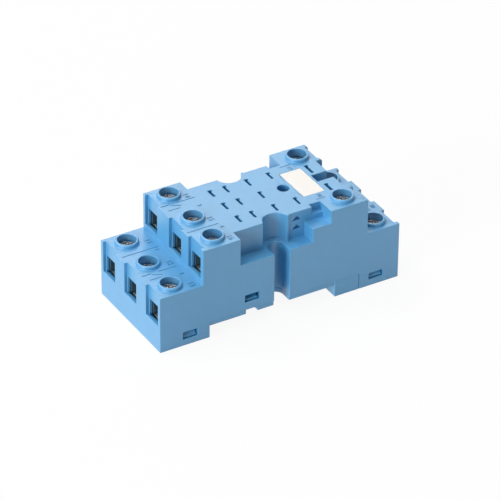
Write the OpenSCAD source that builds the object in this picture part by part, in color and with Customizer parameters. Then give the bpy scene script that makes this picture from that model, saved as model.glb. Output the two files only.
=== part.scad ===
// Three-pole relay socket for a 35 mm rail or a panel.
// A stepped moulded housing carries eleven clamp terminals in two tiers at each end, and a deck
// with blade receptacles between them. A snap-in base plate closes it from below and holds the
// sliding rail latch. X runs from the near wire end to the latch end, Y across, Z up.

/* [Housing] */
// Length of the housing, from wire end to wire end
housing_l = 68.1; // [66:0.1:80]
// Width of the housing
housing_w = 30; // [29:0.1:36]
// Height of the deck and of the upper terminal tiers
deck_h = 25.7; // [24.9:0.1:30]
// Height of the lower terminal tiers
lower_tier_h = 15.8; // [15.2:0.1:17.4]
// Height of the shoulder beside the deck
shoulder_h = 18.2; // [17.4:0.1:19.6]
// Height of the small step in front of the far upper block
step_h = 22.1; // [21:0.1:23]
// Height of the seat on the rail, above the feet
seat_h = 3.2; // [3:0.1:4]
// Thickness of the base plate
plate_t = 1.4; // [1.2:0.1:1.8]
// Thickness of the outer walls
wall = 1.2; // [1:0.05:1.4]
// Thickness of the deck over the receptacles
deck_t = 1.6; // [1.2:0.1:2]

/* [Tiers and deck] */
// Depth of the near lower tier
near_lower_d = 12; // [11.2:0.1:13]
// Depth of the near upper tier
near_upper_d = 10.45; // [9.8:0.05:12]
// Depth of the far lower tier
far_lower_d = 9.35; // [9.2:0.05:11]
// Depth of the far upper block
far_upper_d = 10.65; // [10.2:0.05:11]
// Length of the step in front of the far upper block
step_l = 5.15; // [4.6:0.05:6]
// How far the deck stands back from the sides
deck_inset = 3.7; // [3.4:0.05:4]
// How far the clip panels stand back from the deck sides
panel_inset = 0.33; // [0.2:0.01:0.5]
// Distance from the mounting channel's axis to the clip panel
panel_start = 4; // [3.8:0.1:4.6]
// Width of the groove between the two far upper terminals
groove_w = 3.2; // [2.8:0.1:3.8]
// Length of the groove, from the far face of the block
groove_l = 6.5; // [5.6:0.1:6.6]
// How far the far block stands back between its two wire recesses
far_setback = 1.9; // [1.4:0.1:2.2]

/* [Terminals] */
// Distance from the sides to the outer screws
screw_in = 4.15; // [4.05:0.05:4.4]
// How far the middle screw of the near upper tier stands off the centre
middle_shift = 1; // [0.6:0.1:1]
// Distance from a tier's face to its screws
screw_setback = 5.05; // [4.9:0.05:5.3]
// Outer diameter of the collars round the screws
collar_od = 6.1; // [5.8:0.1:6.6]
// Inner diameter of the collars
collar_id = 4.85; // [4.8:0.05:5.1]
// Height of the collars
collar_h = 0.9; // [0.6:0.1:1.2]
// Width of the wire recesses
recess_w = 6; // [5.6:0.1:6.3]
// Depth of the wire recesses into the tier's face
recess_d = 0.9; // [0.7:0.1:1]
// Width of the wire windows
window_w = 5.5; // [5:0.1:5.5]
// Top of a wire window below the tier's top
window_top = 4; // [3.8:0.1:4.3]
// Sill of a wire window below the tier's top
sill = 8.5; // [8.2:0.1:8.8]

/* [Clamps] */
// Outer width of a clamp box
box_w = 6; // [5.6:0.1:6.2]
// Wall thickness of a clamp box
box_t = 0.5; // [0.4:0.05:0.6]
// Reach of a clamp box from the screw towards the wire
box_front = 3.3; // [3:0.1:3.4]
// Reach of a clamp box from the screw away from the wire
box_back = 2.4; // [2.2:0.1:2.5]
// Thickness of the threaded top of a clamp box
box_top_t = 1; // [0.8:0.1:1.1]
// Top of a clamp box below the tier's top
box_depth = 3.4; // [3.2:0.1:3.6]
// Diameter of the clamp screws
screw_d = 3; // [2.5:0.1:3.2]
// Diameter of the screw heads
head_d = 4.4; // [4:0.1:4.5]
// Height of the screw heads
head_h = 1.1; // [0.9:0.1:1.3]
// Radial clearance of the screws in their threads
screw_fit = 0.05; // [0.03:0.01:0.08]
// Diameter of the neck that carries the pressure plate
neck_d = 1.9; // [1.6:0.1:2.2]
// Thickness of the pressure plates
jaw_t = 0.8; // [0.6:0.1:1]
// Reach of a pressure plate from the screw, towards the wire and away from it
jaw_reach = [1.6, 2];
// Gap that a fully tightened clamp keeps
closed_gap = 0.35; // [0.32:0.01:0.5]

/* [Contacts] */
// Thickness of the contact strips
strip_t = 0.8; // [0.6:0.1:0.9]
// Width of the strips at the clamps
strip_w = 4.6; // [4:0.1:4.7]
// Width of the strips at the receptacles
tongue_w = 2.6; // [2.2:0.1:3]
// Thickness of the receptacle leaves
leaf_t = 0.4; // [0.3:0.05:0.5]
// Gap between the leaves where they grip a relay blade
blade_gap = 0.45; // [0.3:0.05:0.6]
// Spacing of the relay blades across the width
pin_pitch = 6.58; // [6.4:0.01:6.7]
// Width of the blade slots
slot_w = 0.65; // [0.6:0.05:0.9]
// Length of the blade slots
slot_l = 3.05; // [2.9:0.05:3.6]
// Diameter of the relay's guide hole
guide_d = 3.1; // [2.6:0.1:3.4]

/* [Mounting] */
// Width of the mounting channels in the long sides
channel_w = 4.4; // [4.2:0.1:4.6]
// Distance from the edge of the near upper tier to the axis of the mounting channels
channel_from_deck = 11.85; // [11.4:0.05:12.2]
// Distance from the side face to the axis of a mounting screw
channel_in = 3.2; // [3:0.1:3.4]
// Diameter of the seat for the mounting screw's head
head_seat_d = 6.9; // [6.4:0.1:7.2]
// Space between the near foot and the far foot, for the rail
rail_gap = 35.75; // [35.5:0.05:36]
// Length of the near foot
near_foot_l = 13.85; // [13.5:0.05:14.4]
// Length of the base plate's far foot
plate_foot_l = 7; // [6.6:0.1:7.4]
// Reach of the lips behind the rail's edges
lip_l = 1.8; // [1.4:0.1:2.2]
// Thickness of the rail's edges, with clearance
rail_t = 1.1; // [1.05:0.05:1.3]
// Half width of the rail lips
lip_half = 5.7; // [5:0.1:6]
// Travel of the rail latch
latch_travel = 2.2; // [1.8:0.1:2.4]

/* [Marker] */
// Length of the marker tag along X
tag_l = 5.95; // [5.6:0.05:6]
// Width of the marker tag across Y
tag_w = 11.75; // [11:0.05:12.5]
// Thickness of the marker tag
tag_t = 0.9; // [0.7:0.1:1.1]

/* [Hidden] */
$fn = 48;
// Names of the pieces

// Solids that join sink this far into each other
eps = 0.01;
// Cutting tools run this far past the faces they cut
over = 1;
// Clearance of the clamp boxes in their cells
seat_gap = 0.15;
// Clearance beside a strip in its trench, and above it
trench_gap = 0.2;
trench_room = 0.35;
// Clearance under a strip on the floor of its clamp box
lay_gap = 0.05;
// Clearance round a receptacle in its cell
fork_gap = 0.5;
// Clearance between base plate and housing walls
plate_gap = 0.1;
// Clearance round the sliding latch
slide_gap = 0.1;
skirt_h = seat_h + plate_t;

// Landmarks along X
near_x = -housing_l / 2;
far_x = housing_l / 2;
near_upper_x = near_x + near_lower_d;
deck_x = near_upper_x + near_upper_d;
far_lower_x = far_x - far_lower_d;
far_block_x = far_lower_x - far_upper_d;
step_x = far_block_x - step_l;
near_foot_x = near_x + near_foot_l;
plate_foot_x = near_foot_x + rail_gap;
far_foot_x = plate_foot_x + plate_foot_l + plate_gap;
channel_x = deck_x + channel_from_deck;
panel_x = channel_x + panel_start;
tag_x = far_block_x - 2.4;
side_y = housing_w / 2;
deck_y = side_y - deck_inset;
panel_y = deck_y - panel_inset;
inner_y = side_y - wall;
plate_y = inner_y - plate_gap;

// Rows of relay blades, from the edge of the near upper tier
row_x = [for (d = [4.2, 8.3, 14.55, 20.8]) deck_x + d];
row_y = [pin_pitch, 0, -pin_pitch];

// The plug-in module's two blades: [place across, length of its slot]
module_x = far_block_x + 5.25;
module_slots = [[4.45, 3.8], [-4.95, 3.3]];

// Heights below a tier's top
strip_top = sill + 0.1;
strip_bottom = strip_top + strip_t;
box_bottom = strip_bottom + box_t + lay_gap;
cell_top = box_depth - seat_gap;

// Terminals: [x, y, tier height, wire side (-1 near end, 1 far end), how far its screw is backed off]
backed = 0.6;
tight = 0.1;
outer_y = side_y - screw_in;
near_upper_y = [outer_y + 0.15, -middle_shift, 0.25 - outer_y];
near_lower = [for (i = [1, 0, -1])
  [near_x + screw_setback, i * outer_y, lower_tier_h, -1, i == 0 ? tight : backed]];
near_upper = [for (i = [0 : 2])
  [near_upper_x + screw_setback, near_upper_y[i], deck_h, -1, i == 2 ? tight : backed]];
far_upper = [for (i = [1, -1])
  [far_lower_x - screw_setback, i * outer_y, deck_h, 1, i == 1 ? tight : backed]];
far_lower = [for (i = [1, 0, -1])
  [far_x - screw_setback, i * outer_y, lower_tier_h, 1, backed]];
terminals = concat(near_lower, near_upper, far_upper, far_lower);

// Receptacle of each terminal: [row, place across]. Row 3 takes the relay's coil.
sockets = [[1, 0], [1, 1], [1, 2], [0, 0], [0, 1], [0, 2], [3, 0], [3, 2], [2, 0], [2, 1], [2, 2]];
coil_row = 3;

// Room kept free behind a clamp cell before the strip halls begin
cell_wall = 1;

// Snap windows in the long sides: [start along X, bottom, height]
snap_l = 4.2;
snap_windows = [[near_x + 6.35, 1.8, 2.1], [near_x + 23.8, 6.85, 2.05], [far_x - 8.6, 1.9, 1.8]];

// How far the snap arms stand in from the ends of their windows
arm_play = 0.45;

// Rail latch and its channel
latch_top = 2.8;
flange_half = 7.1;
flange_t = 1.5;
tab_half = 5;
foot_wall = 0.7;
end_bridge = 0.8;
foot_rise = 0.3;
lip_top = seat_h - rail_t;
latch_stop_x = plate_foot_x + foot_wall;
plate_end_x = far_x - wall - plate_gap;

// Colours
blue = [0.52, 0.74, 0.92];
light_blue = [0.60, 0.80, 0.95];
white = [0.97, 0.97, 0.96];
steel = [0.72, 0.73, 0.74];
tin = [0.80, 0.79, 0.74];

// ---- Helpers ----

// Puts children at a terminal, with local X towards the wire and Z measured from the tier's top
module at_terminal(t) {
  translate([t[0], t[1], t[2]])
    rotate([0, 0, t[3] > 0 ? 0 : 180])
      children();
}

// Box given by its lowest and highest corner
module block(low, high) {
  translate(low)
    cube(high - low);
}

// Repeats children on both long sides
module both_sides() {
  children();
  mirror([0, 1, 0])
    children();
}

// Extrudes an XZ profile across Y, centred
module side_extrude(width) {
  rotate([90, 0, 0])
    linear_extrude(height = width, center = true)
      children();
}

// Upright slot open to the side, ending in a half round
module channel_cut(width, low, high) {
  translate([channel_x, side_y - channel_in, low])
    cylinder(d = width, h = high - low);
  block([channel_x - width / 2, side_y - channel_in, low],
        [channel_x + width / 2, side_y + over, high]);
}

// ---- Housing ----

// Outline of the two tiers, the shoulder, the step and the feet, seen from the side
module stepped_profile() {
  polygon([
    [near_x, 0], [near_x, lower_tier_h], [near_upper_x, lower_tier_h], [near_upper_x, deck_h],
    [deck_x, deck_h], [deck_x, shoulder_h], [step_x, shoulder_h], [step_x, step_h],
    [far_block_x, step_h], [far_block_x, deck_h], [far_lower_x, deck_h],
    [far_lower_x, lower_tier_h], [far_x, lower_tier_h], [far_x, 0],
    [far_foot_x, 0], [far_foot_x, skirt_h], [near_foot_x, skirt_h], [near_foot_x, 0]]);
}

// Collar round a screw well, with an eased rim
module collar() {
  ease = 0.25;
  translate([0, 0, -eps])
    rotate_extrude()
      polygon([[0, 0], [collar_od / 2, 0], [collar_od / 2, collar_h - ease],
               [collar_od / 2 - ease, collar_h + eps], [0, collar_h + eps]]);
}

// Well for a screw and its driver
module screw_well() {
  translate([0, 0, -cell_top - eps])
    cylinder(d = collar_id, h = cell_top + collar_h + over);
}

// Pocket for a clamp box, open from below
module clamp_cell(t) {
  block([-box_back - seat_gap, -box_w / 2 - seat_gap, skirt_h - t[2] - over],
        [box_front + seat_gap, box_w / 2 + seat_gap, -cell_top]);
}

// Open-topped recess in the tier's face, and the window for the wire. Behind the recess the
// window's floor drops to the clamp.
module wire_entry() {
  drop = 0.5;
  recess_x = screw_setback - recess_d;
  block([recess_x, -recess_w / 2, -sill], [screw_setback + over, recess_w / 2, over]);
  block([box_front, -window_w / 2, -sill - drop], [recess_x + eps, window_w / 2, -window_top]);
}

// Slot in the deck for a blade, with a small lobe at one end
module blade_slot(width, length, lobe) {
  block([-width / 2, -length / 2, -deck_t - over], [width / 2, length / 2, over]);
  block([-width / 2, length / 2 - slot_w, -deck_t - over], [width / 2 + lobe, length / 2, over]);
}

// Pocket for a receptacle, open from below
module receptacle_cell() {
  half_l = 1.6;
  half_w = tongue_w / 2 + fork_gap;
  block([-half_l, -half_w, skirt_h - deck_h - over], [half_l, half_w, -deck_t]);
}

// Rooms below the deck for the strips, with the mounting channels walled off
module strip_rooms() {
  low = skirt_h - over;
  lower_room = lower_tier_h - strip_top + 1.2;
  upper_room = deck_h - strip_top + trench_room;
  room_y = side_y - channel_in - channel_w / 2 - wall;
  guard = channel_w / 2 + wall;
  back = box_back + seat_gap + cell_wall;
  jog_y = outer_y + tongue_w / 2 + trench_room;
  arm_half = tongue_w / 2 + fork_gap;
  near_hall_x = near_upper_x + screw_setback + back;
  far_hall_x = far_lower_x - screw_setback - back;
  block([near_x + screw_setback + back, -inner_y, low], [channel_x - guard, inner_y, lower_room]);
  block([channel_x + guard, -inner_y, low], [far_x - screw_setback - back, inner_y, lower_room]);
  block([near_hall_x, -jog_y, low], [channel_x - guard, jog_y, upper_room]);
  block([channel_x + guard, -jog_y, low], [far_hall_x, jog_y, upper_room]);
  block([channel_x - guard - over, -room_y, low], [channel_x + guard + over, room_y, upper_room]);
  for (s = module_slots)
    block([far_hall_x - over, s[0] - arm_half, low], [module_x, s[0] + arm_half, upper_room]);
}

// Passage for a strip out of the back of its clamp cell
module strip_passage(t) {
  half = tongue_w / 2 + trench_gap;
  block([-box_back - seat_gap - cell_wall - over, -half, skirt_h - t[2] - over],
        [-box_back, half, -strip_top + trench_room]);
}

// Side details: mounting channel, clip panel with its two pockets, and clip notch
module side_cuts() {
  notch_l = 3.2;
  notch_in = 1.4;
  notch_depth = 2.1;
  pocket_x = panel_x + 1.1;
  pocket_z = [deck_h - 2.4, deck_h - 4.9];
  channel_cut(channel_w, -over, shoulder_h + over);
  channel_cut(head_seat_d, shoulder_h, deck_h + over);
  block([panel_x, panel_y, shoulder_h], [step_x, side_y + over, deck_h + over]);
  block([step_x, panel_y, step_h],
        [far_block_x, side_y + over, deck_h + over]);
  block([far_block_x - notch_l, panel_y - notch_in, deck_h - notch_depth],
        [far_block_x, side_y, deck_h + over]);
  for (z = pocket_z)
    translate([pocket_x, panel_y, z])
      clip_pocket();
}

// Three-cornered pocket that the relay clip's tooth drops into
module clip_pocket() {
  pocket_w = 2.4;
  pocket_h = 1.25;
  pocket_in = 0.8;
  translate([0, over, 0])
    rotate([90, 0, 0])
      linear_extrude(height = over + pocket_in)
        polygon([[0, 0], [pocket_w, 0], [pocket_w / 2, pocket_h]]);
}

// Openings in the deck for the relay, the plug-in module and the marker tag
module deck_cuts() {
  guide_depth = 5;
  tag_gap = 0.05;
  for (s = sockets)
    translate([row_x[s[0]], row_y[s[1]], deck_h]) {
      blade_slot(slot_w, slot_l, 0.45);
      receptacle_cell();
    }
  for (s = module_slots)
    translate([module_x, s[0], deck_h]) {
      blade_slot(slot_w + 0.15, s[1], 0.3);
      receptacle_cell();
    }
  translate([row_x[coil_row], 0, deck_h - guide_depth])
    cylinder(d = guide_d, h = guide_depth + over);
  block([tag_x - tag_gap, -tag_w / 2 - tag_gap, deck_h - tag_t],
        [tag_x + tag_l + tag_gap, tag_w / 2 + tag_gap, deck_h + over]);
}

// Groove and set-back face between the two far upper terminals, and the rounded tips of the ribs
module far_block_cuts() {
  rib = 0.95;
  tip_r = 0.8;
  middle = outer_y - recess_w / 2 - rib;
  block([far_lower_x - groove_l, -groove_w / 2, shoulder_h],
        [far_lower_x + over, groove_w / 2, deck_h + over]);
  block([far_lower_x - far_setback, -middle, lower_tier_h],
        [far_lower_x + over, middle, deck_h + over]);
  translate([far_lower_x - tip_r, 0, deck_h - tip_r])
    side_extrude(housing_w + over)
      difference() {
        square(tip_r + over);
        circle(r = tip_r);
      }
}

// Windows for the base plate's snap noses, and the room behind the middle one for its arm
module snap_cuts() {
  arm = snap_windows[1];
  arm_room = 2.8;
  for (w = snap_windows)
    block([w[0], inner_y - over, w[1]], [w[0] + snap_l, side_y + over, w[1] + w[2]]);
  block([arm[0] - 0.2, inner_y - arm_room, skirt_h - over],
        [arm[0] + snap_l + 0.2, inner_y, arm[1] + arm[2] + 0.4]);
}

module housing() {
  color(blue)
    difference() {
      union() {
        side_extrude(housing_w)
          stepped_profile();
        block([deck_x - eps, -deck_y, skirt_h + over], [far_block_x + eps, deck_y, deck_h]);
        for (t = terminals)
          at_terminal(t)
            collar();
      }
      for (t = terminals)
        at_terminal(t) {
          screw_well();
          clamp_cell(t);
          strip_passage(t);
          wire_entry();
        }
      deck_cuts();
      far_block_cuts();
      strip_rooms();
      both_sides() {
        side_cuts();
        snap_cuts();
      }
      foot_rooms();
      latch_exit();
    }
}

// The undersides of both feet, where the base plate lies inside the walls
module foot_rooms() {
  block([near_x + wall, -inner_y, -over], [near_foot_x + over, inner_y, skirt_h]);
  block([far_foot_x - over, -inner_y, -over], [far_x - wall, inner_y, skirt_h]);
}

// Opening in the far end for the pull tab of the rail latch
module latch_exit() {
  gap = 0.3;
  block([far_x - wall - over, -tab_half - gap, -over],
        [far_x + over, tab_half + gap, latch_top + gap]);
}

// ---- Base plate ----

// Pads and posts that press the clamp boxes up into their cells. The tall posts stand to one side,
// clear of the strips that pass under the upper tiers.
module clamp_rest(t) {
  low = [-1.2, t[2] == deck_h ? 0.6 : -1.6];
  high = [2.2, 2.6];
  at_terminal(t)
    block([low[0], low[1], skirt_h - t[2] - eps], [high[0], high[1], -box_bottom]);
}

// Snap arm between the feet, with a nose that reaches into the housing's window
module snap_arm() {
  w = snap_windows[1];
  arm_y = side_y - 3.8;
  arm_t = 1;
  nose_y = side_y - 0.5;
  nose_z = w[1] + 0.1;
  top_z = w[1] + 1.6;
  translate([w[0] + arm_play, 0, 0])
    rotate([90, 0, 90])
      linear_extrude(height = snap_l - 2 * arm_play)
        polygon([[arm_y, skirt_h - eps], [arm_y + arm_t, skirt_h - eps], [arm_y + arm_t, nose_z],
                 [nose_y, nose_z], [nose_y, nose_z + 0.4], [arm_y + arm_t, top_z],
                 [arm_y, top_z]]);
}

// Snap nose on the side of a foot
module foot_nose(w) {
  play = 0.3;
  root_y = inner_y - 1;
  nose_y = side_y - 0.45;
  nose_z = w[1] + 0.1;
  top_z = w[1] + 1.5;
  translate([w[0] + play, 0, 0])
    rotate([90, 0, 90])
      linear_extrude(height = snap_l - 2 * play)
        polygon([[root_y, nose_z], [nose_y, nose_z], [nose_y, nose_z + 0.4],
                 [inner_y - 0.2, top_z], [root_y, top_z]]);
}

module base_plate() {
  bridge_y = side_y - 0.25;
  lip_low = 0.6;
  color(light_blue)
    difference() {
      union() {
        block([near_x + wall + plate_gap, -plate_y, foot_rise],
              [near_foot_x + eps, plate_y, skirt_h]);
        block([near_foot_x, -bridge_y, seat_h], [plate_foot_x + eps, bridge_y, skirt_h]);
        block([plate_foot_x, -side_y, 0], [plate_foot_x + plate_foot_l, side_y, skirt_h]);
        block([plate_foot_x + plate_foot_l - eps, -plate_y, foot_rise],
              [plate_end_x, plate_y, skirt_h]);
        block([near_foot_x - eps, -lip_half, lip_low], [near_foot_x + lip_l, lip_half, lip_top]);
        for (t = terminals)
          clamp_rest(t);
        both_sides() {
          snap_arm();
          foot_nose(snap_windows[0]);
          foot_nose(snap_windows[2]);
        }
      }
      near_foot_pockets();
      latch_channel();
      both_sides() {
        channel_cut(channel_w, -over, skirt_h + over);
        bridge_notch();
      }
    }
}

// Notch in the plate's edge, in front of the snap arm
module bridge_notch() {
  w = snap_windows[1];
  depth = 2.75;
  block([w[0] + arm_play, side_y - depth, seat_h - over],
        [w[0] + snap_l - arm_play, side_y + over, skirt_h + over]);
}

// Cored-out underside of the near foot, leaving its ribs
module near_foot_pockets() {
  rib = 1.2;
  cells = 3;
  low_x = near_x + wall + plate_gap + rib;
  high_x = near_foot_x - rib;
  cell_w = (2 * plate_y - rib * (cells + 1)) / cells;
  for (k = [0 : cells - 1])
    translate([0, -plate_y + rib + k * (cell_w + rib), 0])
      block([low_x, 0, -over], [high_x, cell_w, seat_h]);
}

// Undercut channel that the rail latch slides in, open through the far end
module latch_channel() {
  lip_y = lip_half + slide_gap;
  flange_y = flange_half + slide_gap;
  top = latch_top + slide_gap;
  block([plate_foot_x - over, -lip_y, -over], [plate_end_x + over, lip_y, lip_top + slide_gap]);
  block([latch_stop_x, -lip_y, -over], [plate_end_x + over, lip_y, top]);
  block([latch_stop_x, -flange_y, latch_top - flange_t - slide_gap],
        [plate_end_x - end_bridge, flange_y, top]);
}

// ---- Rail latch ----

// Latch with a sloped lip for the rail, side flanges that ride in the plate, and a pull tab with
// a slot for a screwdriver
module rail_latch() {
  bottom = 0.4;
  flange_x = latch_stop_x + 0.05;
  flange_end = plate_end_x - end_bridge - latch_travel - 0.1;
  tab_end = far_x - 0.1;
  core_half = 4.2;
  skin = 1.6;
  color(light_blue)
    difference() {
      union() {
        side_extrude(2 * lip_half)
          polygon([[plate_foot_x - lip_l, lip_top], [plate_foot_x - lip_l, lip_top - 0.5],
                   [plate_foot_x - 0.2, bottom], [flange_end, bottom], [flange_end, lip_top]]);
        block([flange_x, -lip_half, lip_top - eps], [flange_end, lip_half, latch_top]);
        block([flange_x, -flange_half, latch_top - flange_t],
              [flange_end, flange_half, latch_top]);
        block([flange_end - eps, -tab_half, bottom], [tab_end, tab_half, latch_top]);
      }
      block([tab_end - 1.8, -2, -over], [tab_end - 1, 2, latch_top + over]);
      block([flange_x + skin, -core_half, -over],
            [flange_end - skin, core_half, latch_top - 1.1]);
    }
}

// ---- Marker tag ----

module marker_tag() {
  color(white)
    block([tag_x, -tag_w / 2, deck_h - tag_t], [tag_x + tag_l, tag_w / 2, deck_h]);
}

// ---- Terminals ----

// Screw, from its cross-slotted head down to the rivet under the pressure plate
module terminal_screw(t) {
  lift = t[4];
  head_low = -box_depth + lift;
  jaw_low = -strip_top + closed_gap + lift;
  jaw_high = jaw_low + jaw_t;
  head_top = head_low + head_h;
  play = 0.02;
  rivet_r = neck_d / 2 + 0.3;
  rivet_low = jaw_low - 0.22;
  ease = 0.2;
  slot_half = 0.375;
  slot_reach = head_d / 2 - 0.5;
  slot_depth = 0.7;
  color(steel)
    at_terminal(t)
      difference() {
        rotate_extrude()
          polygon([[0, rivet_low], [rivet_r, rivet_low], [rivet_r, jaw_low - play],
                   [neck_d / 2, jaw_low - play], [neck_d / 2, jaw_high + play],
                   [screw_d / 2, jaw_high + play], [screw_d / 2, head_low], [head_d / 2, head_low],
                   [head_d / 2, head_top - ease], [head_d / 2 - ease, head_top], [0, head_top]]);
        for (turn = [0, 90])
          rotate([0, 0, turn])
            block([-slot_reach, -slot_half, head_top - slot_depth],
                  [slot_reach, slot_half, head_top + over]);
      }
}

// Plate that the screw pushes down on the wire
module pressure_plate(t) {
  low = -strip_top + closed_gap + t[4];
  half = strip_w / 2;
  color(steel)
    at_terminal(t)
      difference() {
        block([-jaw_reach[1], -half, low], [jaw_reach[0], half, low + jaw_t]);
        translate([0, 0, low - over])
          cylinder(d = neck_d + 2 * screw_fit, h = jaw_t + 2 * over);
      }
}

// Folded steel box: the screw turns in its top, and the contact strip lies on its floor
module clamp_box(t) {
  color(steel)
    at_terminal(t)
      difference() {
        block([-box_back, -box_w / 2, -box_bottom], [box_front, box_w / 2, -box_depth]);
        block([-box_back - over, -box_w / 2 + box_t, -box_bottom + box_t],
              [box_front + over, box_w / 2 - box_t, -box_depth - box_top_t]);
        translate([0, 0, -box_depth - box_top_t - over])
          cylinder(r = screw_d / 2 + screw_fit, h = box_top_t + 2 * over);
      }
}

// ---- Contact strips ----

// Flat run of strip from one point to another in plan
module run(from, to, width, z) {
  along_x = abs(to[0] - from[0]) > abs(to[1] - from[1]);
  side = along_x ? [0, width / 2] : [width / 2, 0];
  translate([0, 0, z])
    linear_extrude(height = strip_t)
      polygon([from - side, to - side, to + side, from + side]);
}

// Serrated clamping end, in the terminal's own place
module clamp_end(t) {
  ridges = 5;
  pitch = 0.55;
  ridge_h = 0.18;
  front = box_front - 0.1;
  root = -strip_top - ridge_h;
  at_terminal(t)
    side_extrude(strip_w)
      polygon(concat(
        [[-box_back, -strip_bottom], [front, -strip_bottom]],
        [for (k = [0 : ridges - 1]) each
          [[front - k * pitch, root], [front - (k + 0.5) * pitch, -strip_top]]],
        [[front - ridges * pitch, root], [-box_back, root]]));
}

// Fork that grips a relay blade, standing on its web
module receptacle(x, y, web_z) {
  top = deck_h - deck_t - 0.3;
  grip_z = top - 1.5;
  knee_z = web_z + strip_t + 1;
  half = 1.1;
  grip = blade_gap / 2;
  flare = 0.8;
  inner = [[half, web_z + strip_t], [half, knee_z], [grip, grip_z], [flare, top]];
  outer = [[flare + leaf_t, top], [grip + leaf_t, grip_z], [half + leaf_t, knee_z],
           [half + leaf_t, web_z]];
  side = concat(inner, outer);
  translate([x, y, 0])
    side_extrude(tongue_w)
      polygon(concat(side, [for (k = [len(side) - 1 : -1 : 0]) [-side[k][0], side[k][1]]]));
}

// Strip from a clamp to its receptacle: out of the cell, a jog across, then along to the row
module contact_strip(i) {
  t = terminals[i];
  s = sockets[i];
  dir = t[3];
  x_end = row_x[s[0]];
  y_end = row_y[s[1]];
  z = t[2] - strip_bottom;
  web_z = deck_h - strip_bottom;
  lap = 0.3;
  straight = 1.8;
  jog = 2.6;
  start = [t[0] - dir * (box_back - lap), t[1]];
  bend_1 = [start[0] - dir * (lap + straight), t[1]];
  bend_2 = [bend_1[0] - dir * jog, y_end];
  color(tin) {
    clamp_end(t);
    run(start, bend_1, tongue_w, z);
    if (s[0] == 0)
      run(bend_1, [x_end - strip_t, y_end], tongue_w, z);
    else {
      run(bend_1, bend_2, tongue_w, z);
      run(bend_2, [x_end, y_end], tongue_w, z);
    }
    if (z < web_z)
      block([x_end - strip_t / 2, y_end - tongue_w / 2, z],
            [x_end + strip_t / 2, y_end + tongue_w / 2, web_z + eps]);
    receptacle(x_end, y_end, web_z);
    if (s[0] == coil_row)
      module_branch(bend_1, module_slots[t[1] > 0 ? 0 : 1][0], z);
  }
}

// Side arm of a coil strip that feeds the receptacle for the plug-in module
module module_branch(from, y, z) {
  corner = [from[0] - 0.3, y];
  run([corner[0], from[1]], corner, strip_t * 2, z);
  run([corner[0] - strip_t, y], [module_x, y], tongue_w, z);
  receptacle(module_x, y, z);
}

// ---- Show the pieces ----

housing();
base_plate();
rail_latch();
marker_tag();
for (i = [0 : len(terminals) - 1]) {
  terminal_screw(terminals[i]);
  pressure_plate(terminals[i]);
  clamp_box(terminals[i]);
  contact_strip(i);
}
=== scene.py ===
"""Three-pole relay socket: finishes, eased edges, threads, raised marks, studio and camera.

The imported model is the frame. Every position comes from its boxes, in metres, and every piece
made here rides on one of its bodies.
"""
import math

import bmesh
import bpy
from mathutils import Matrix, Vector


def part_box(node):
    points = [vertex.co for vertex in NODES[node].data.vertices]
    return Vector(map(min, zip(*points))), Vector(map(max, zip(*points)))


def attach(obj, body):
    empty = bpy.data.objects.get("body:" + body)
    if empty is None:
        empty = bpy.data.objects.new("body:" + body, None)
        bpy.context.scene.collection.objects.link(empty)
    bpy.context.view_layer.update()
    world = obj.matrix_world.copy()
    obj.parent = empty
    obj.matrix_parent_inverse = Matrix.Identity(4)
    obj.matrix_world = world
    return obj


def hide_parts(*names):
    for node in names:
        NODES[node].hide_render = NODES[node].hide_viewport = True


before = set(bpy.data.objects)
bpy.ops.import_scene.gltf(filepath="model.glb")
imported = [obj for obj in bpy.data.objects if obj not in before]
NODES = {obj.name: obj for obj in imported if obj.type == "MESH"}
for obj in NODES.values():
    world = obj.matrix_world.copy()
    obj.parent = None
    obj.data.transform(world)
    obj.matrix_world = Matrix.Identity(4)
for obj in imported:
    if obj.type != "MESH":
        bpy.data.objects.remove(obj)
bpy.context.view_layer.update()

MM = 0.001
TERMINALS = range(1, 12)

# ---- Sizes ----

HOUSING_EASE = 0.085 * MM
PLATE_EASE = 0.09 * MM
METAL_EASE = 0.05 * MM
TAG_EASE = 0.08 * MM
BOX_EASE = 0.12 * MM

TIER_TOP = 15.8 * MM
DECK_TOP = 25.7 * MM
MARK_HEIGHT = 0.12 * MM
MARK_WIDTH = 0.17 * MM
NUMBER_SIZE = 2.1 * MM
SMALL_NUMBER_SIZE = 1.5 * MM

SHANK_RADIUS = 1.5 * MM
CORE_RADIUS = 1.28 * MM
THREAD_PITCH = 0.5 * MM
HEAD_HEIGHT = 1.1 * MM
HEAD_RISE = 0.9 * MM


# ---- Shader groups ----

def add_sockets(tree, inputs, outputs):
    """Gives a group its named inputs and outputs, each (name, kind, default)."""
    for name, kind, default in inputs:
        socket = tree.interface.new_socket(name=name, in_out="INPUT", socket_type=kind)
        socket.default_value = default
    for name, kind in outputs:
        tree.interface.new_socket(name=name, in_out="OUTPUT", socket_type=kind)


def noise(tree, vector, scale, detail, roughness=0.5):
    node = tree.nodes.new("ShaderNodeTexNoise")
    node.inputs["Detail"].default_value = detail
    node.inputs["Roughness"].default_value = roughness
    tree.links.new(vector, node.inputs["Vector"])
    if isinstance(scale, (int, float)):
        node.inputs["Scale"].default_value = scale
    else:
        tree.links.new(scale, node.inputs["Scale"])
    return node.outputs["Fac"]


def math_node(tree, operation, first, second=None):
    node = tree.nodes.new("ShaderNodeMath")
    node.operation = operation
    for socket, value in zip(node.inputs, (first, second)):
        if value is None:
            continue
        if isinstance(value, (int, float)):
            socket.default_value = value
        else:
            tree.links.new(value, socket)
    return node.outputs[0]


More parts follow.
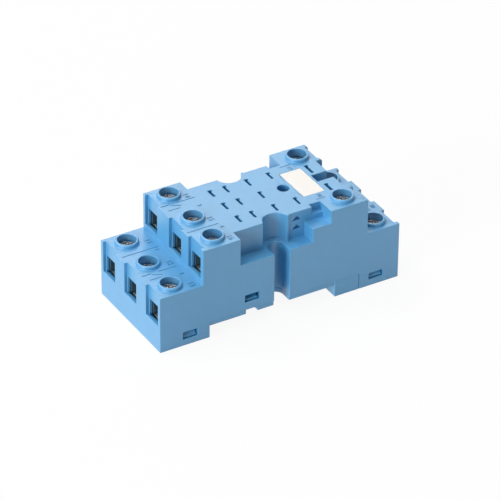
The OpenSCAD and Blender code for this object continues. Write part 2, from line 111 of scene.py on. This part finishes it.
def moulded_surface_group():
    """Moulded plastic: fine spark-eroded grain, and a slow mottle of colour and gloss."""
    tree = bpy.data.node_groups.new("moulded_surface", "ShaderNodeTree")
    add_sockets(
        tree,
        [("Color", "NodeSocketColor", (0.5, 0.5, 0.5, 1)),
         ("Roughness", "NodeSocketFloat", 0.5),
         ("Grain Scale", "NodeSocketFloat", 9000.0),
         ("Mottle Scale", "NodeSocketFloat", 260.0),
         ("Mottle Amount", "NodeSocketFloat", 0.1)],
        [("Color", "NodeSocketColor"), ("Roughness", "NodeSocketFloat"), ("Height", "NodeSocketFloat")])
    start = tree.nodes.new("NodeGroupInput")
    end = tree.nodes.new("NodeGroupOutput")
    place = tree.nodes.new("ShaderNodeTexCoord").outputs["Object"]

    grain = noise(tree, place, start.outputs["Grain Scale"], 3.0)
    mottle = noise(tree, place, start.outputs["Mottle Scale"], 4.0, 0.65)
    swing = math_node(tree, "MULTIPLY", math_node(tree, "SUBTRACT", mottle, 0.5), start.outputs["Mottle Amount"])
    fleck = math_node(tree, "MULTIPLY", math_node(tree, "SUBTRACT", grain, 0.5), 0.16)
    value = math_node(tree, "ADD", math_node(tree, "ADD", swing, fleck), 1.0)

    tint = tree.nodes.new("ShaderNodeHueSaturation")
    tree.links.new(value, tint.inputs["Value"])
    tree.links.new(start.outputs["Color"], tint.inputs["Color"])
    rough = math_node(tree, "ADD", start.outputs["Roughness"], math_node(tree, "MULTIPLY", fleck, 0.6))
    tree.links.new(tint.outputs["Color"], end.inputs["Color"])
    tree.links.new(rough, end.inputs["Roughness"])
    tree.links.new(grain, end.inputs["Height"])
    return tree


def worked_metal_group():
    """Plated metal: tumbling marks in colour and gloss, and fine streaks of the rolled strip."""
    tree = bpy.data.node_groups.new("worked_metal", "ShaderNodeTree")
    add_sockets(
        tree,
        [("Color", "NodeSocketColor", (0.6, 0.6, 0.6, 1)),
         ("Roughness", "NodeSocketFloat", 0.3),
         ("Streak", "NodeSocketVector", (1.0, 8.0, 8.0)),
         ("Mark Scale", "NodeSocketFloat", 1500.0)],
        [("Color", "NodeSocketColor"), ("Roughness", "NodeSocketFloat"), ("Height", "NodeSocketFloat")])
    start = tree.nodes.new("NodeGroupInput")
    end = tree.nodes.new("NodeGroupOutput")
    place = tree.nodes.new("ShaderNodeTexCoord").outputs["Object"]

    stretch = tree.nodes.new("ShaderNodeVectorMath")
    stretch.operation = "MULTIPLY"
    tree.links.new(place, stretch.inputs[0])
    tree.links.new(start.outputs["Streak"], stretch.inputs[1])
    streaks = noise(tree, stretch.outputs[0], start.outputs["Mark Scale"], 2.0)
    stains = noise(tree, place, 600.0, 3.0, 0.6)

    tint = tree.nodes.new("ShaderNodeHueSaturation")
    shade = math_node(tree, "ADD", math_node(tree, "MULTIPLY", stains, 0.35), 0.82)
    tree.links.new(shade, tint.inputs["Value"])
    tree.links.new(start.outputs["Color"], tint.inputs["Color"])
    swing = math_node(tree, "MULTIPLY", math_node(tree, "SUBTRACT", streaks, 0.5), 0.35)
    tree.links.new(tint.outputs["Color"], end.inputs["Color"])
    tree.links.new(math_node(tree, "ADD", start.outputs["Roughness"], swing), end.inputs["Roughness"])
    tree.links.new(streaks, end.inputs["Height"])
    return tree


MOULDED = moulded_surface_group()
METAL = worked_metal_group()


# ---- Materials ----

def grouped_material(name, group, values, bump_distance, bump_strength, shader_values):
    """A Principled material whose colour, roughness and bump come from one of the groups."""
    material = bpy.data.materials.new(name)
    material.use_nodes = True
    tree = material.node_tree
    shader = tree.nodes["Principled BSDF"]
    for socket, value in shader_values.items():
        shader.inputs[socket].default_value = value
    effect = tree.nodes.new("ShaderNodeGroup")
    effect.node_tree = group
    for socket, value in values.items():
        effect.inputs[socket].default_value = value
    bump = tree.nodes.new("ShaderNodeBump")
    bump.inputs["Distance"].default_value = bump_distance
    bump.inputs["Strength"].default_value = bump_strength
    tree.links.new(effect.outputs["Color"], shader.inputs["Base Color"])
    tree.links.new(effect.outputs["Roughness"], shader.inputs["Roughness"])
    tree.links.new(effect.outputs["Height"], bump.inputs["Height"])
    tree.links.new(bump.outputs["Normal"], shader.inputs["Normal"])
    return material


def plastic(name, color, roughness, mottle, coat=1.0):
    return grouped_material(
        name, MOULDED,
        {"Color": (*color, 1), "Roughness": roughness, "Mottle Amount": mottle},
        0.03 * MM, 0.5, {"Coat Weight": coat, "Coat Roughness": 0.38, "Coat IOR": 1.6})


def metal(name, color, roughness, streak=(1.0, 1.0, 1.0)):
    return grouped_material(
        name, METAL,
        {"Color": (*color, 1), "Roughness": roughness, "Streak": streak},
        0.01 * MM, 0.4, {"Metallic": 1.0})


HOUSING_BLUE = plastic("housing_blue", (0.068, 0.312, 0.580), 0.50, 0.16)
PLATE_BLUE = plastic("plate_blue", (0.058, 0.310, 0.570), 0.50, 0.14)
# Darker blue for the raised numbers, hairlines and signs: painted shade along the marks, which are moulded in the
# housing's own blue.
MARK_PAINTED_SHADE = plastic("mark_painted_shade", (0.020, 0.150, 0.330), 0.55, 0.05, 0.4)
TAG_WHITE = plastic("tag_white", (0.87, 0.84, 0.80), 0.50, 0.03, 0.2)
SCREW_STEEL = metal("screw_steel", (0.50, 0.47, 0.45), 0.28)
# Dark teal base colour for the clamp boxes: painted shade and a painted reflection of the blue housing around
# them, on grey steel.
BOX_STEEL_PAINTED_SHADE = metal("box_steel_painted_shade", (0.14, 0.27, 0.36), 0.42, (8.0, 1.0, 1.0))
CLAMP_STEEL = metal("clamp_steel", (0.34, 0.33, 0.31), 0.34, (8.0, 1.0, 1.0))
CONTACT_TIN = metal("contact_tin", (0.50, 0.46, 0.40), 0.36, (1.0, 8.0, 8.0))


# ---- Mesh helpers ----

def new_piece(name, mesh, material, body):
    """A finished mesh as a piece that rides on a body and takes a slot's finish."""
    mesh.materials.clear()
    mesh.materials.append(material)
    piece = bpy.data.objects.new(name, mesh)
    bpy.context.scene.collection.objects.link(piece)
    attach(piece, body)
    return piece


def applied(obj):
    """The object's mesh with its modifiers applied. The object itself is deleted."""
    mesh = bpy.data.meshes.new_from_object(obj.evaluated_get(bpy.context.evaluated_depsgraph_get()))
    bpy.data.objects.remove(obj)
    return mesh


def eased_copy(node, width, segments=2, angle=30):
    """A merged copy of a CAD node's mesh with its sharp edges rounded."""
    mesh = NODES[node].data.copy()
    bm = bmesh.new()
    bm.from_mesh(mesh)
    bmesh.ops.remove_doubles(bm, verts=bm.verts, dist=0.002 * MM)
    bmesh.ops.dissolve_limit(bm, angle_limit=math.radians(0.5), verts=bm.verts, edges=bm.edges)
    bmesh.ops.connect_verts_concave(bm, faces=bm.faces)
    bm.to_mesh(mesh)
    bm.free()
    mesh.shade_smooth()
    helper = bpy.data.objects.new(node + "_helper", mesh)
    bpy.context.scene.collection.objects.link(helper)
    bevel = helper.modifiers.new("ease", "BEVEL")
    bevel.width = width
    bevel.segments = segments
    bevel.limit_method = "ANGLE"
    bevel.angle_limit = math.radians(angle)
    bevel.use_clamp_overlap = False
    bevel.miter_outer = "MITER_ARC"
    flatten = helper.modifiers.new("flatten", "WEIGHTED_NORMAL")
    flatten.weight = 100
    flatten.keep_sharp = True
    return applied(helper)


def dress(node, width, material, body, segments=2):
    """Shows an eased copy in place of a CAD node."""
    piece = new_piece(node + "_eased", eased_copy(node, width, segments), material, body)
    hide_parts(node)
    return piece


def centre(node):
    low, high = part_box(node)
    return (Vector(low) + Vector(high)) / 2


# ---- Moulded pieces ----

dress("housing", HOUSING_EASE, HOUSING_BLUE, "socket")
dress("base_plate", PLATE_EASE, PLATE_BLUE, "socket")
dress("rail_latch", PLATE_EASE, PLATE_BLUE, "latch")
dress("marker_tag", TAG_EASE, TAG_WHITE, "socket")


# ---- Raised marks ----

def node_tree(name, inputs):
    """An empty Geometry Nodes tree with named inputs, each (name, kind, default), and its ends."""
    tree = bpy.data.node_groups.new(name, "GeometryNodeTree")
    add_sockets(tree, [], [("Geometry", "NodeSocketGeometry")])
    tree.interface.new_socket(name="Geometry", in_out="INPUT", socket_type="NodeSocketGeometry")
    tree.interface.new_socket(name="Material", in_out="INPUT", socket_type="NodeSocketMaterial")
    add_sockets(tree, inputs, [])
    return tree, tree.nodes.new("NodeGroupInput"), tree.nodes.new("NodeGroupOutput")


def sweep(tree, start, end, curve, profile):
    """Ends a tree: the profile swept along the curve, upright, in the given material."""
    upright = tree.nodes.new("GeometryNodeSetCurveNormal")
    upright.mode = "Z_UP"
    tube = tree.nodes.new("GeometryNodeCurveToMesh")
    tube.inputs["Fill Caps"].default_value = True
    finish = tree.nodes.new("GeometryNodeSetMaterial")
    solid = tree.nodes.new("GeometryNodeRealizeInstances")
    tree.links.new(curve, upright.inputs["Curve"])
    tree.links.new(upright.outputs["Curve"], tube.inputs["Curve"])
    tree.links.new(profile, tube.inputs["Profile Curve"])
    tree.links.new(tube.outputs["Mesh"], solid.inputs["Geometry"])
    tree.links.new(solid.outputs["Geometry"], finish.inputs["Geometry"])
    tree.links.new(start.outputs["Material"], finish.inputs["Material"])
    tree.links.new(finish.outputs["Geometry"], end.inputs["Geometry"])


def raised_line_tree():
    """A flat raised line along the edges of a mesh."""
    tree, start, end = node_tree("raised_line", [("Width", "NodeSocketFloat", MARK_WIDTH),
                                                 ("Height", "NodeSocketFloat", MARK_HEIGHT)])
    path = tree.nodes.new("GeometryNodeMeshToCurve")
    section = tree.nodes.new("GeometryNodeCurvePrimitiveQuadrilateral")
    tree.links.new(start.outputs["Geometry"], path.inputs["Mesh"])
    tree.links.new(start.outputs["Width"], section.inputs["Width"])
    tree.links.new(start.outputs["Height"], section.inputs["Height"])
    sweep(tree, start, end, path.outputs["Curve"], section.outputs["Curve"])
    return tree


def screw_thread_tree():
    """A V thread: a diamond section swept along a helix on the tree's own Z axis."""
    tree, start, end = node_tree("screw_thread", [("Radius", "NodeSocketFloat", CORE_RADIUS),
                                                  ("Ridge", "NodeSocketFloat", SHANK_RADIUS - CORE_RADIUS),
                                                  ("Height", "NodeSocketFloat", THREAD_PITCH),
                                                  ("Turns", "NodeSocketFloat", 1.0)])
    helix = tree.nodes.new("GeometryNodeCurveSpiral")
    helix.inputs["Resolution"].default_value = 32
    section = tree.nodes.new("GeometryNodeCurvePrimitiveCircle")
    section.inputs["Resolution"].default_value = 4
    tree.links.new(start.outputs["Turns"], helix.inputs["Rotations"])
    tree.links.new(start.outputs["Radius"], helix.inputs["Start Radius"])
    tree.links.new(start.outputs["Radius"], helix.inputs["End Radius"])
    tree.links.new(start.outputs["Height"], helix.inputs["Height"])
    tree.links.new(start.outputs["Ridge"], section.inputs["Radius"])
    sweep(tree, start, end, helix.outputs["Curve"], section.outputs["Curve"])
    return tree


def grown(name, mesh, tree, values):
    """The mesh that a Geometry Nodes tree makes from another, with the tree's inputs set."""
    helper = bpy.data.objects.new(name + "_helper", mesh)
    bpy.context.scene.collection.objects.link(helper)
    modifier = helper.modifiers.new(name, "NODES")
    modifier.node_group = tree
    for item in tree.interface.items_tree:
        if item.item_type == "SOCKET" and item.in_out == "INPUT" and item.name in values:
            modifier[item.identifier] = values[item.name]
    return applied(helper)


def line_mesh(lines):
    """Loose edges along polylines of (x, y, z) points."""
    points = []
    edges = []
    for line in lines:
        first = len(points)
        points.extend(line)
        edges.extend((first + i, first + i + 1) for i in range(len(line) - 1))
    mesh = bpy.data.meshes.new("lines")
    mesh.from_pydata(points, edges, [])
    return mesh


def number_mesh(text, size, place):
    """A raised number that reads across the socket, with its top towards the far end."""
    curve = bpy.data.curves.new("number", "FONT")
    curve.body = text
    curve.size = size
    curve.align_x = "CENTER"
    curve.align_y = "CENTER"
    curve.resolution_u = 3
    curve.extrude = MARK_HEIGHT / 2
    curve.offset = 0.03 * MM
    letter = bpy.data.objects.new("number", curve)
    bpy.context.scene.collection.objects.link(letter)
    mesh = applied(letter)
    mesh.transform(Matrix.Translation(place) @ Matrix.Rotation(-math.pi / 2, 4, "Z"))
    return mesh


def joined(meshes):
    bm = bmesh.new()
    for mesh in meshes:
        bm.from_mesh(mesh)
    bmesh.ops.remove_doubles(bm, verts=bm.verts, dist=0.0005 * MM)
    bmesh.ops.recalc_face_normals(bm, faces=bm.faces)
    whole = bpy.data.meshes.new("joined")
    bm.to_mesh(whole)
    bm.free()
    return whole


def tier_line(points, top):
    """A line on a tier, given in mm from the part's origin."""
    return [(x * MM, y * MM, top) for x, y in points]


def contact_sign(x, y, top, across=1):
    """Generic changeover sign: two leads and a slanted blade between them."""
    return [tier_line([(x, y), (x + 2.6, y)], top),
            tier_line([(x + 2.6, y - 0.5 * across), (x + 5.0, y - 1.6 * across)], top),
            tier_line([(x + 4.6, y), (x + 9.6, y)], top),
            tier_line([(x + 1.0, y - 2.4 * across), (x + 4.2, y - 2.4 * across)], top)]


def marks():
    """Numbers beside the wells, hairlines between them, and the signs by the tag."""
    numbers = []
    for number in range(1, 7):
        x, y, z = centre(f"terminal_screw_{number}")
        top, reach = (TIER_TOP, 4.7 * MM) if number <= 3 else (DECK_TOP, 3.6 * MM)
        numbers.append(number_mesh(str(10 + number), NUMBER_SIZE, (x + reach, y - 2.2 * MM, top)))
    for text, x, y, top in (("1", -24.1, 4.4, TIER_TOP), ("2", -24.0, -7.8, TIER_TOP),
                            ("3", -12.7, 3.4, DECK_TOP), ("4", -12.7, -7.6, DECK_TOP),
                            ("17", 15.2, 7.1, DECK_TOP), ("18", 15.2, -7.2, DECK_TOP),
                            ("19", 32.2, 5.4, TIER_TOP), ("20", 32.3, -5.0, TIER_TOP),
                            ("21", 30.5, -5.8, TIER_TOP)):
        numbers.append(number_mesh(text, SMALL_NUMBER_SIZE, (x * MM, y * MM, top)))
    piece = new_piece("terminal_numbers", joined(numbers), MARK_PAINTED_SHADE, "socket")

    lines = [tier_line([(-33.2, 5.55), (-23.2, 5.55)], TIER_TOP),
             tier_line([(-21.5, -5.95), (-12.8, -5.95)], DECK_TOP),
             tier_line([(13.4, 8.6), (16.2, 8.6)], DECK_TOP),
             tier_line([(13.6, -8.5), (16.2, -8.5)], DECK_TOP)]
    lines += contact_sign(-33.1, -4.2, TIER_TOP)
    lines += contact_sign(-21.5, 7.2, DECK_TOP)
    hairlines = grown("hairlines", line_mesh(lines), raised_line_tree(),
                      {"Width": MARK_WIDTH, "Height": MARK_HEIGHT, "Material": MARK_PAINTED_SHADE})
    new_piece("hairlines", joined([hairlines]), MARK_PAINTED_SHADE, "socket")


marks()


# ---- Metal pieces ----

THREAD = screw_thread_tree()


def threaded_screw(number):
    """The screw with a full head, its shank turned down to the core, and the thread wound on it."""
    node = f"terminal_screw_{number}"
    piece = dress(node, METAL_EASE, SCREW_STEEL, f"screw_{number}")
    low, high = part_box(node)
    axis = centre(node)
    head_low = high[2] - HEAD_HEIGHT
    for vertex in piece.data.vertices:
        if vertex.co.z > head_low + 0.3 * MM:
            vertex.co.z += HEAD_RISE
        arm = Vector((vertex.co.x - axis.x, vertex.co.y - axis.y))
        if abs(arm.length - SHANK_RADIUS) < 0.06 * MM and vertex.co.z < head_low + 0.01 * MM:
            arm *= CORE_RADIUS / arm.length
            vertex.co.x = axis.x + arm.x
            vertex.co.y = axis.y + arm.y
    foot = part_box(f"pressure_plate_{number}")[1][2] + 0.3 * MM
    height = head_low - 0.25 * MM - foot
    thread = grown("thread", bpy.data.meshes.new("none"), THREAD,
                   {"Radius": CORE_RADIUS, "Ridge": SHANK_RADIUS - CORE_RADIUS, "Height": height,
                    "Turns": height / THREAD_PITCH, "Material": SCREW_STEEL})
    thread.transform(Matrix.Translation((axis.x, axis.y, foot)))
    new_piece(node + "_thread", thread, SCREW_STEEL, f"screw_{number}")


for number in TERMINALS:
    dress(f"clamp_box_{number}", BOX_EASE, BOX_STEEL_PAINTED_SHADE, "socket")
    dress(f"pressure_plate_{number}", METAL_EASE, CLAMP_STEEL, f"plate_{number}")
    dress(f"contact_strip_{number}", METAL_EASE, CONTACT_TIN, "socket")
    threaded_screw(number)


# ---- Studio ----

def stage_material(name, color, glow):
    """White for the camera and for reflections, plain for the light that bounces."""
    material = bpy.data.materials.new(name)
    material.use_nodes = True
    tree = material.node_tree
    tree.nodes.clear()
    rays = tree.nodes.new("ShaderNodeLightPath")
    diffuse = tree.nodes.new("ShaderNodeBsdfDiffuse")
    diffuse.inputs["Color"].default_value = color
    light = tree.nodes.new("ShaderNodeEmission")
    mix = tree.nodes.new("ShaderNodeMixShader")
    out = tree.nodes.new("ShaderNodeOutputMaterial")
    seen = math_node(tree, "MAXIMUM", rays.outputs["Is Camera Ray"], rays.outputs["Is Glossy Ray"])
    tree.links.new(math_node(tree, "MULTIPLY", seen, glow), mix.inputs[0])
    tree.links.new(diffuse.outputs[0], mix.inputs[1])
    tree.links.new(light.outputs[0], mix.inputs[2])
    tree.links.new(mix.outputs[0], out.inputs[0])
    return material


def studio():
    """White floor and white world. The lamps come after it: a large soft one on the left, two above and two faint
    ones behind.
    """
    size = 3.0
    mesh = bpy.data.meshes.new("floor")
    mesh.from_pydata([(-size, -size, 0), (size, -size, 0), (size, size, 0), (-size, size, 0)], [], [(0, 1, 2, 3)])
    floor = bpy.data.objects.new("floor", mesh)
    mesh.materials.append(stage_material("floor_white", (0.9, 0.9, 0.9, 1), 0.92))
    bpy.context.scene.collection.objects.link(floor)

    world = bpy.data.worlds.new("studio_world")
    bpy.context.scene.world = world
    world.use_nodes = True
    tree = world.node_tree
    tree.nodes.clear()
    rays = tree.nodes.new("ShaderNodeLightPath")
    soft = tree.nodes.new("ShaderNodeBackground")
    soft.inputs["Strength"].default_value = 0.07
    white = tree.nodes.new("ShaderNodeBackground")
    white.inputs["Strength"].default_value = 1.0
    mix = tree.nodes.new("ShaderNodeMixShader")
    out = tree.nodes.new("ShaderNodeOutputWorld")
    seen = math_node(tree, "MAXIMUM", rays.outputs["Is Camera Ray"], rays.outputs["Is Transmission Ray"])
    tree.links.new(math_node(tree, "MAXIMUM", seen, rays.outputs["Is Glossy Ray"]), mix.inputs[0])
    tree.links.new(soft.outputs[0], mix.inputs[1])
    tree.links.new(white.outputs[0], mix.inputs[2])
    tree.links.new(mix.outputs[0], out.inputs[0])


def area_lamp(name, place, aim, size, power, color=(1, 1, 1)):
    data = bpy.data.lights.new(name, "AREA")
    data.shape = "RECTANGLE"
    data.size = size[0]
    data.size_y = size[1]
    data.energy = power
    data.color = color
    lamp = bpy.data.objects.new(name, data)
    lamp.location = place
    lamp.rotation_euler = (Vector(aim) - Vector(place)).to_track_quat("-Z", "Y").to_euler()
    bpy.context.scene.collection.objects.link(lamp)


def camera():
    """Long lens at the picture's viewing angle."""
    azimuth = math.radians(-30.605)
    elevation = math.radians(33.394)
    roll = math.radians(0.546)
    distance = 921.55 * MM
    aim = Vector((-0.685, -0.916, 11.124)) * MM
    data = bpy.data.cameras.new("camera")
    data.sensor_width = 36.0
    data.lens = 267.68
    data.clip_end = 20.0
    data.clip_start = 0.01
    view = bpy.data.objects.new("camera", data)
    forward = Vector((-math.sin(azimuth) * math.cos(elevation), math.cos(azimuth) * math.cos(elevation),
                      -math.sin(elevation)))
    level = forward.to_track_quat("-Z", "Y").to_matrix().to_4x4()
    view.matrix_world = (Matrix.Translation(aim - forward * distance) @ level
                         @ Matrix.Rotation(roll, 4, "Z"))
    bpy.context.scene.collection.objects.link(view)
    bpy.context.scene.camera = view


studio()
area_lamp("left", (-1.0, -0.3, 0.3), (0, 0, 0.01), (0.5, 0.5), 9.4)
area_lamp("top", (0, 0, 1.1), (0, 0, 0.01), (0.5, 0.5), 4.1)
area_lamp("top_back", (-0.4, 0.5, 1.0), (0, 0, 0.01), (0.5, 0.5), 6.4)
area_lamp("back", (0.3, 0.9, 0.7), (0, 0, 0.01), (0.5, 0.5), 1.3)
area_lamp("back_right", (0.55, 0.95, 0.5), (0, 0, 0.01), (0.5, 0.5), 1.0)
camera()
bpy.context.scene.view_settings.view_transform = "Standard"
